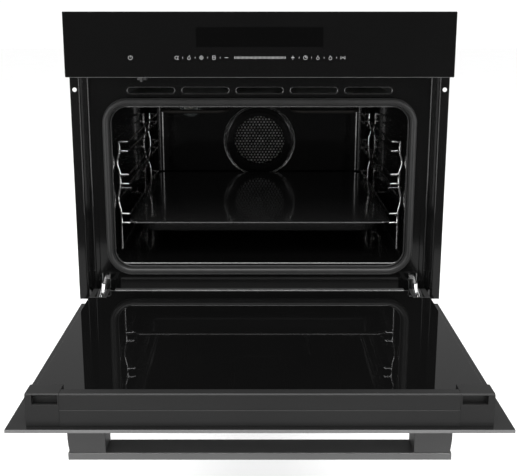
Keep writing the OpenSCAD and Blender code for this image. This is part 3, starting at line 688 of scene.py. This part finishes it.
def make_icons():
    """Touch marks: power, cooking modes, minus, slider, plus, clock, timer and child lock."""
    marks = [bow(-196.5, 0, 3.1, 125, 290), bar(-196.5, 1.8, 0.5, 3.4)]
    marks += [bow(-126.5, 0, 2.4, 40, 280), slant(-124.4, 0, 0.5, 6.0, 25), bar(-124.0, -2.6, 2.2, 0.5)]
    marks += [bow(-107.5, -0.9, 2.1, 0, 360), slant(-107.0, 2.2, 0.5, 3.4, 30)]
    marks += [bow(-88.5 + 1.7 * cos(a), 1.7 * sin(a), 1.25, 0, 360, 0.5)
              for a in (0, pi / 2, pi, 3 * pi / 2)]
    marks += [bar(-69.5, z, 4.6, 0.5) for z in (2.7, 0, -2.7)]
    marks += [bar(-69.5 + x, 0, 0.5, 5.4) for x in (-2.0, 2.0)]
    marks += [bar(-50.5, 0, 5.6, 0.6), bar(50.5, 0, 5.6, 0.6), bar(50.5, 0, 0.6, 5.6)]
    marks += [bow(69.5, 0, 2.9, 0, 360), bar(69.5, 1.0, 0.5, 2.4), bar(70.4, 0, 1.9, 0.5)]
    marks += [bow(88.5, -1.0, 2.0, 0, 360), bar(88.5, 2.2, 0.6, 2.6)]
    marks += [bow(107.5, -1.1, 2.2, 150, 240)]
    marks += [slant(106.5, 1.4, 0.5, 3.2, 28), slant(108.5, 1.4, 0.5, 3.2, -28)]
    marks += [bar(x, 0, 0.5, 5.0) for x in (123.4, 129.6)]
    marks += [slant(125.4, 0, 0.5, 3.6, 40), slant(127.6, 0, 0.5, 3.6, -40), bar(126.5, 0, 2.6, 0.5)]
    marks += [bar(side * (60 + 19 * k), 0, 0.5, 2.4) for side in (-1, 1) for k in range(4)]
    marks += [bar(-38 + 77 * k / 39, 0, 0.6, 3.6) for k in range(40)]
    finished(joined(marks), "panel_marks", "oven", ink, smooth=0)


# ---------------------------------------------------------------- front frame


def make_front_frame():
    low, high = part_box("flange_left")
    sheet = 1.0 * MM
    fold = high.x - 5 * MM
    work = block((low.x, low.y, low.z), (fold, low.y + sheet, high.z))
    work.pick("faces", lambda f: not level(f, 1, low.y)).delete()
    work.pick("edges", lambda e: level(e, 0, fold))
    work.extrude((high.x - fold, high.y - 1.3 * MM - low.y, 0))
    work.extrude((10 * MM, 0, 0))
    work.pick("edges", lambda e: level(e, 0, fold)).bevel(2.6 * MM, 6)
    work.pick("edges", lambda e: level(e, 0, high.x)).bevel(4.0 * MM, 6)
    left = walled(faced(work.close()), sheet, 0)
    fixing_hole = Bench("cylinder", vertices=32, radius=3.5 * MM, depth=0.02,
                        location=mm(-289, 0, 0), rotation=(pi / 2, 0, 0)).close()
    pierced(left, fixing_hole)
    rounded(left, 0.3 * MM, 2, 40)
    right = mirrored(left)
    finished(left, "flange_fold_left", "oven", front_enamel, "flange_left")
    finished(right, "flange_fold_right", "oven", front_enamel, "flange_right")
    machined("fascia", 0.5 * MM, front_enamel, 2)

    vent_w, vent_h, pitch, lip = 76 * MM, 11 * MM, 87 * MM, 1.1 * MM
    middle = (0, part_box("fascia")[0].y + 0.2 * MM, -4.2 * MM)
    # The vent rims are beads in pale enamel: painted highlights round each vent.
    rim = hoop(vent_w / 2, vent_h / 2, vent_h / 2 - 1e-5, middle, lip, 10, 8)
    rims = repeated(rim.close(), [X * pitch * k for k in range(-2, 3)])
    finished(rims, "vent_rims", "oven", front_edge)

    low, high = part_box("door_seal")
    centre = Z * (low.z + high.z) / 2
    radius = 5.5 * MM
    tube = hoop(
        high.x - radius, (high.z - low.z) / 2 - radius, 36 * MM,
        centre + Y * (low.y + radius), radius, 20, 14,
    ).close()
    lip = hoop(
        high.x - 12.2 * MM, (high.z - low.z) / 2 - 12.2 * MM, 30 * MM,
        centre + Y * (low.y + 10.2 * MM), 1.5 * MM, 12, 14,
    ).close()
    foot = hoop(
        high.x - 8.5 * MM, (high.z - low.z) / 2 - 8.5 * MM, 33 * MM,
        centre + Y * (low.y + 13.4 * MM), 4.0 * MM, 12, 14, 0.5,
    ).close()
    finished(joined([tube, lip, foot]), "door_seal_tube", "oven", silicone, "door_seal", smooth=50)


# ---------------------------------------------------------------- cavity


FAN_Z = -159 * MM


def make_cavity():
    low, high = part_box("cavity_wrapper")
    sheet = 1.5 * MM
    low, high = low + Vector((sheet, 0, sheet)), high - Vector((sheet, 0, sheet))
    work = block(low, high)
    work.pick("faces", lambda f: level(f, 1, low.y)).delete()
    work.pick("edges", lambda e: runs(e, 2) and level(e, 1, high.y)).bevel(40 * MM, 10)
    for edge_z in (low.z, high.z):
        work.pick("edges", lambda e: level(e, 2, edge_z) and not level(e, 1, low.y)).bevel(20 * MM, 8)
    liner = walled(work.close(), sheet)
    cup_r = 74 * MM
    lamp = Vector((-150 * MM, high.y, high.z - 52 * MM))
    tools = [
        Bench("cylinder", vertices=sides, radius=radius, depth=0.02, location=at,
              rotation=(pi / 2, 0, 0)).close()
        for at, radius, sides in (((0, high.y, FAN_Z), cup_r, 64), (lamp, 16 * MM, 32))
    ]
    finished(pierced(liner, *tools), "cavity_liner", "oven", cavity_enamel, "cavity_wrapper")

    cup = turned(
        (0, high.y, FAN_Z), 1,
        [(cup_r + 0.001, -0.0008), (cup_r - 0.0006, 0.0006), (cup_r - 0.001, 0.003), (cup_r - 0.001, 0.041),
         (cup_r - 0.004, 0.0445), (cup_r - 0.008, 0.045), (0.0075, 0.045)],
    ).close()
    finished(walled(cup, 1.2 * MM), "fan_cup", "oven", cavity_enamel, "cavity_back")

    half_w, half_h = high.x, (high.z - low.z) / 2
    # The mouth's lip is a bead in pale enamel: a painted highlight round the cavity mouth.
    lip = hoop(
        half_w + 0.4 * MM, half_h + 0.4 * MM, 20 * MM, (0, low.y + 0.2 * MM, (low.z + high.z) / 2),
        1.4 * MM, 12, 12,
    ).close()
    finished(lip, "mouth_lip", "oven", bright_edge)


def make_fan():
    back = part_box("fan_cover")[1].y
    centre = Vector((0, back, FAN_Z))
    rings = turned(
        centre, 1,
        [(0.0780, -0.0002), (0.0776, -0.0018), (0.0764, -0.0026), (0.0750, -0.0028), (0.0740, -0.0040),
         (0.0728, -0.0044), (0.0710, -0.0044), (0.0700, -0.0050), (0.0660, -0.0052), (0.0650, -0.0056),
         (0.0642, -0.0074), (0.0634, -0.0080), (0.0560, -0.0080), (0.0555, -0.0072)],
        96,
    ).close()
    walled(rings, 1.0 * MM)

    pitch, hole = 7 * MM, 2.35 * MM
    row = pitch * 0.8660254
    centre = centre - Y * 7.6 * MM
    cell = Bench("circle", vertices=6, radius=pitch / 1.7320508, rotation=(pi / 2, 0, 0),
                 location=centre)
    bpy.ops.mesh.subdivide(number_cuts=1)
    cell.close()
    ring = Bench("circle", vertices=12, radius=hole, rotation=(pi / 2, 0, 0), location=centre).close()
    sheet = joined([cell.obj, ring])
    take(sheet)
    bpy.ops.object.mode_set(mode="EDIT")
    bpy.ops.mesh.select_all(action="SELECT")
    bpy.ops.mesh.bridge_edge_loops()
    bpy.ops.object.mode_set(mode="OBJECT")
    reach, screen_r = range(-10, 11), 57.5 * MM
    moves = [Vector((pitch * (i + (j % 2) / 2), 0, row * j)) for j in reach for i in reach]
    sheet = repeated(sheet, [way for way in moves if way.length < screen_r])
    faced(sheet, merge=2e-5)
    walled(sheet, 0.9 * MM, 0)
    finished(joined([rings, sheet]), "fan_cover_screen", "oven", cavity_enamel, "fan_cover", smooth=50)
    # Three beads in pale enamel on the fan cover: painted highlights as bright rings.
    beads = []
    for radius, ahead, thick in (
        (0.0780, 0.0026, 0.0009), (0.0748, 0.0040, 0.0009), (0.0640, 0.0076, 0.0006),
    ):
        centre = Vector((0, back - ahead, FAN_Z))
        bead = Bench("circle", vertices=10, radius=thick, location=centre + X * radius)
        beads.append(bead.spin(2 * pi, centre, Y, 96).close())
    finished(joined(beads), "fan_cover_beads", "oven", bright_edge)
    machined("convection_fan", 0.15 * MM, cast)
    machined("ring_heater", 0, heater, smooth=60)


def make_racks_and_tray():
    for side in ("left", "right"):
        machined("rack_" + side, 0, chrome, smooth=50)
    low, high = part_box("baking_tray")
    size, centre = high - low, (low + high) / 2
    rim_z = high.z - 0.6 * MM
    rim = Bench("plane", size=1, location=(0, centre.y, rim_z))
    bpy.ops.mesh.select_mode(type="VERT")
    rim.scale((size.x, size.y, 1), (0, centre.y, rim_z))
    rim.bevel(16 * MM, 10, corners=True)
    rim.pick("faces", lambda f: True).delete("ONLY_FACE")
    rim.close()
    work = Bench("plane", size=1, location=(0, centre.y, rim_z))
    bpy.ops.mesh.select_mode(type="VERT")
    work.scale((size.x - 19 * MM, size.y - 19 * MM, 1), (0, centre.y, rim_z))
    work.bevel(36 * MM, 10, corners=True)
    work.pick("faces", lambda f: True)
    for thickness, depth in ((1.5, -1.0), (9.0, -16.5), (3.5, -4.0), (4.0, -1.2), (6.0, 0.0)):
        work.inset(thickness * MM, depth * MM)
    work.close()
    tray = joined([rim.obj, work.obj])
    bpy.ops.object.mode_set(mode="EDIT")
    work.obj = tray
    work.pick("edges", lambda e: len(e.link_faces) < 2)
    bpy.ops.mesh.bridge_edge_loops()
    tray = work.close()
    walled(tray, 1.1 * MM, -1, even=False)
    finished(tray, "baking_tray_bowl", "tray", tray_enamel, "baking_tray", smooth=45)
    # The rolled rim is a bead in pale enamel: a painted highlight round the tray's edge.
    roll = 1.5 * MM
    bead = hoop(size.x / 2 - roll, size.y / 2 - roll, 14.5 * MM, (0, centre.y, high.z - roll),
                roll, 12, 10, up=Y).close()
    finished(bead, "tray_rim_roll", "tray", tray_edge)


def make_cavity_fittings():
    machined("grill_element", 0, heater, smooth=60)
    machined("temperature_probe", 0.3 * MM, zinc)
    low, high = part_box("lamp_cover")
    middle_x, middle_z, back = (low.x + high.x) / 2, (low.z + high.z) / 2, high.y
    cover = turned(
        (middle_x, back, middle_z), 1,
        [(0.0240, -0.0002), (0.0238, -0.0018), (0.0228, -0.0050), (0.0205, -0.0072), (0.0170, -0.0086),
         (0.0120, -0.0090), (0.0060, -0.0086), (0.0004, -0.0084)], 48,
    ).close()
    finished(walled(cover, 1.5 * MM, -1), "lamp_lens", "oven", lamp_glass, "lamp_cover", smooth=60)
    machined("lamp_holder", 0.5 * MM, ceramic)
    machined("lamp_bulb", 0, bulb_glass, smooth=60)


# ---------------------------------------------------------------- door


def make_door():
    machined("door_outer_glass", 0.6 * MM, door_glass, 3)
    # A pale band round the outer glass's edges: a painted highlight on the glass edge.
    low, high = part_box("door_outer_glass")
    work = block(low, high)
    work.pick("faces", lambda f: abs(f.normal.z) > 0.9).delete()
    edge = modify(work.close(), "SOLIDIFY", thickness=0.5 * MM, offset=-0.4)
    finished(rounded(edge, 0.2 * MM, 2), "door_glass_edge", "door", ground_edge)
    machined("door_inner_glass", 0.5 * MM, mirror_glass, 3)
    painted("door_middle_glass", pane_glass)
    machined("door_top_rail", 0.9 * MM, rail_grey, 3)
    for side in ("left", "right"):
        machined("rail_cap_" + side, 0.9 * MM, rail_grey, 3)
        machined("door_side_" + side, 0.5 * MM, soft_black)
    machined("door_bottom_strip", 0.4 * MM, zinc)

    low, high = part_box("handle_bar")
    work = block(low, high)
    work.pick("edges", lambda e: runs(e, 0)).bevel(1.3 * MM, 4)
    work.pick("edges", lambda e: level(e, 0, low.x) or level(e, 0, high.x)).bevel(0.5 * MM, 2)
    finished(work.close(), "handle_grip", "door", bar_metal, "handle_bar")

    # The posts get the darker copy of the bar's metal: painted shade.
    low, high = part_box("handle_posts")
    width = 45.5 * MM
    work = block((high.x - width, low.y, low.z), high)
    work.cut((0, 0, low.z + 9 * MM), Z)
    work.cut((0, 0, low.z + 18 * MM), Z)
    work.pick("verts", lambda v: v.co.x > high.x - 1e-5 and v.co.z < low.z + 1e-5).move(X * -2.2 * MM)
    work.pick("verts", lambda v: v.co.x > high.x - 1e-5 and abs(v.co.z - low.z - 9 * MM) < 1e-5)
    work.move(X * -0.8 * MM)
    post = rounded(work.close(), 0.8 * MM, 3, 20)
    other = mirrored(post)
    finished(joined([post, other]), "handle_stands", "door", brushed, "handle_posts")


def make_hinges():
    for side in ("left", "right"):
        for part in ("arm", "latch", "strap"):
            machined(f"hinge_{part}_{side}", 0.25 * MM, zinc)
        # The hinge bodies take the darker zinc copy: painted shade.
        machined("hinge_body_" + side, 0.25 * MM, dull_zinc)
        machined("hinge_spring_" + side, 0, zinc, smooth=60)
    machined("door_sensor", 0.4 * MM, dull_zinc)


# ---------------------------------------------------------------- housing


def make_screws():
    """Pan-head cross screws of the back and the side panels."""
    roof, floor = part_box("top_cover")[1].z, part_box("base_plate")[0].z
    rear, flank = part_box("back_panel")[1].y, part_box("side_panel_right")[1].x
    head = Bench("cylinder", vertices=24, radius=4 * MM, depth=2.4 * MM, rotation=(pi / 2, 0, 0),
                 location=(0, 1.2 * MM, 0))
    head = head.pick("edges", lambda e: level(e, 1, 2.4 * MM)).bevel(1.0 * MM, 3).close()
    arms = [block((-w * MM, 1.3 * MM, -h * MM), (w * MM, 4 * MM, h * MM)).close()
            for w, h in ((2.2, 0.45), (0.45, 2.2))]
    head = pierced(head, *arms)
    sides = []
    for sign in (-1, 1):
        turned_head = copied(head)
        turned_head.rotation_euler.z = -sign * pi / 2
        settled(turned_head)
        sides.append(repeated(turned_head, [
            Vector((sign * flank, y * MM, z)) for y in (60, 300, 530)
            for z in (floor + 60 * MM, roof - 12 * MM)
        ]))
    backs = repeated(head, [
        Vector((x * MM, rear, z)) for x in (-250, -90, 90, 250)
        for z in (floor + 14 * MM, roof - 12 * MM)
    ])
    finished(joined([backs, *sides]), "cross_screws", "oven", zinc, "housing_screws")


def swage(low, high, axis, out):
    """A long pressed rib on a sheet panel: round ends, rolled shoulders."""
    across = min(high[k] - low[k] for k in range(3) if k != axis)
    work = block(low, high)
    work.pick("edges", lambda e: runs(e, axis)).bevel(across * 0.49, 8)
    work.pick("edges", lambda e: level(e, axis, out)).bevel(1.3 * MM, 4)
    return work.close()


def make_ribs():
    """Stiffening ribs pressed into the sides, the roof and the back."""
    flank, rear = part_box("side_panel_right")[1].x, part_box("back_panel")[1].y
    roof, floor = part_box("top_cover")[1].z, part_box("base_plate")[0].z
    sink, proud, width = 0.4 * MM, 1.6 * MM, 22 * MM
    front, half = 90 * MM, 200 * MM
    ribs = []
    for z in (floor + 110 * MM, floor + 210 * MM):
        top = flank + proud
        rib = swage(Vector((flank - sink, front, z)), Vector((top, 490 * MM, z + width)), 0, top)
        ribs += [rib, mirrored(rib)]
    for x in (-180 * MM, 158 * MM):
        top = roof + proud
        ribs.append(swage(Vector((x, front, roof - sink)), Vector((x + width, 400 * MM, top)), 2, top))
    for z in (floor + 70 * MM, floor + 190 * MM):
        top = rear + proud
        ribs.append(swage(Vector((-half, rear - sink, z)), Vector((half, top, z + width)), 1, top))
    finished(joined(ribs), "pressed_ribs", "oven", galvanised, smooth=50)


def make_housing():
    machined("base_plate", 0.3 * MM, galvanised)
    for node in ("top_cover", "back_panel", "side_panel_left", "side_panel_right"):
        machined(node, 0, galvanised, smooth=0)
    for node in ("air_duct", "blower_housing"):
        machined(node, 0.3 * MM, galvanised)
    machined("blower_wheel", 0, cast)
    for node in ("fan_motor", "blower_motor"):
        machined(node, 0.6 * MM, motor)
    machined("cable_inlet", 0.6 * MM, soft_black)
    machined("terminal_block", 0.5 * MM, ceramic)
    machined("panel_carrier", 0.5 * MM, soft_black)
    machined("display_module", 0.5 * MM, soft_black)
    machined("control_board", 0.2 * MM, board)
    machined("power_board", 0.3 * MM, board)
    painted("insulation_wrap", wool)
    painted("insulation_rear", wool)
    machined("bottom_heater", 0, heater, smooth=60)
    make_screws()
    make_ribs()


# ---------------------------------------------------------------- studio


def make_studio():
    lens = bpy.data.cameras.new("camera")
    lens.sensor_width = 36
    lens.lens = 48.72
    lens.shift_y = -0.185
    camera = bpy.data.objects.new("camera", lens)
    camera.location = mm(-1, -1091, 117)
    camera.rotation_euler = (radians(90 - 10.4), 0, 0)
    bpy.context.scene.collection.objects.link(camera)
    bpy.context.scene.camera = camera

    floor = Bench("plane", size=40, location=(0, 0, -0.9)).close()
    floor.name = "floor"
    pale = Paint("floor", roughness=0.9)
    pale.show(base_color=pale.mixed(pale.noise(3.0), grey(0.93), grey(0.97)))
    floor.data.materials.append(pale.material)
    floor.visible_glossy = False

    world = bpy.data.worlds.new("studio")
    bpy.context.scene.world = world
    world.use_nodes = True
    tree = world.node_tree
    sky = tree.nodes["Background"]
    path = tree.nodes.new("ShaderNodeLightPath")
    mix = tree.nodes.new("ShaderNodeMix")
    mix.inputs["A"].default_value = 1.1
    towards = tree.nodes.new("ShaderNodeTexCoord")
    apart = tree.nodes.new("ShaderNodeSeparateXYZ")
    behind = tree.nodes.new("ShaderNodeMapRange")
    for key, value in (("From Min", 0.05), ("From Max", 0.5), ("To Min", 0.05), ("To Max", 0.36)):
        behind.inputs[key].default_value = value
    tree.links.new(towards.outputs["Generated"], apart.inputs["Vector"])
    tree.links.new(apart.outputs["Y"], behind.inputs["Value"])
    tree.links.new(behind.outputs["Result"], mix.inputs["B"])
    tree.links.new(path.outputs["Is Glossy Ray"], mix.inputs["Factor"])
    tree.links.new(mix.outputs["Result"], sky.inputs["Strength"])
    sky.inputs["Color"].default_value = (1, 1, 1, 1)

    for name, place, aim, wide, tall, power in (
        ("overhead", (0, -0.9, 2.6), (0, 0, 0), 3.0, 2.4, 110),
        ("left_near", (-1.35, -2.4, -0.1), (0, 0, -0.15), 0.25, 2.0, 9),
        ("right_near", (1.35, -2.4, -0.1), (0, 0, -0.15), 0.25, 2.0, 9),
        ("left_far", (-2.2, -1.5, 0.1), (0, 0, -0.1), 0.6, 2.0, 14),
        ("right_far", (2.2, -1.5, 0.1), (0, 0, -0.1), 0.6, 2.0, 14),
        ("low_front", (0, -1.0, -0.86), (0, -0.3, -0.38), 2.4, 0.5, 1.6),
    ):
        data = bpy.data.lights.new(name, "AREA")
        data.shape, data.size, data.size_y, data.energy = "RECTANGLE", wide, tall, power
        lamp = bpy.data.objects.new(name, data)
        lamp.location = place
        lamp.rotation_euler = (Vector(aim) - Vector(place)).to_track_quat("-Z", "Y").to_euler()
        lamp.visible_camera = False
        bpy.context.scene.collection.objects.link(lamp)
    bpy.context.scene.view_settings.view_transform = "Standard"


make_control_head()
make_icons()
make_front_frame()
make_cavity()
make_fan()
make_racks_and_tray()
make_cavity_fittings()
make_door()
make_hinges()
make_housing()
make_studio()
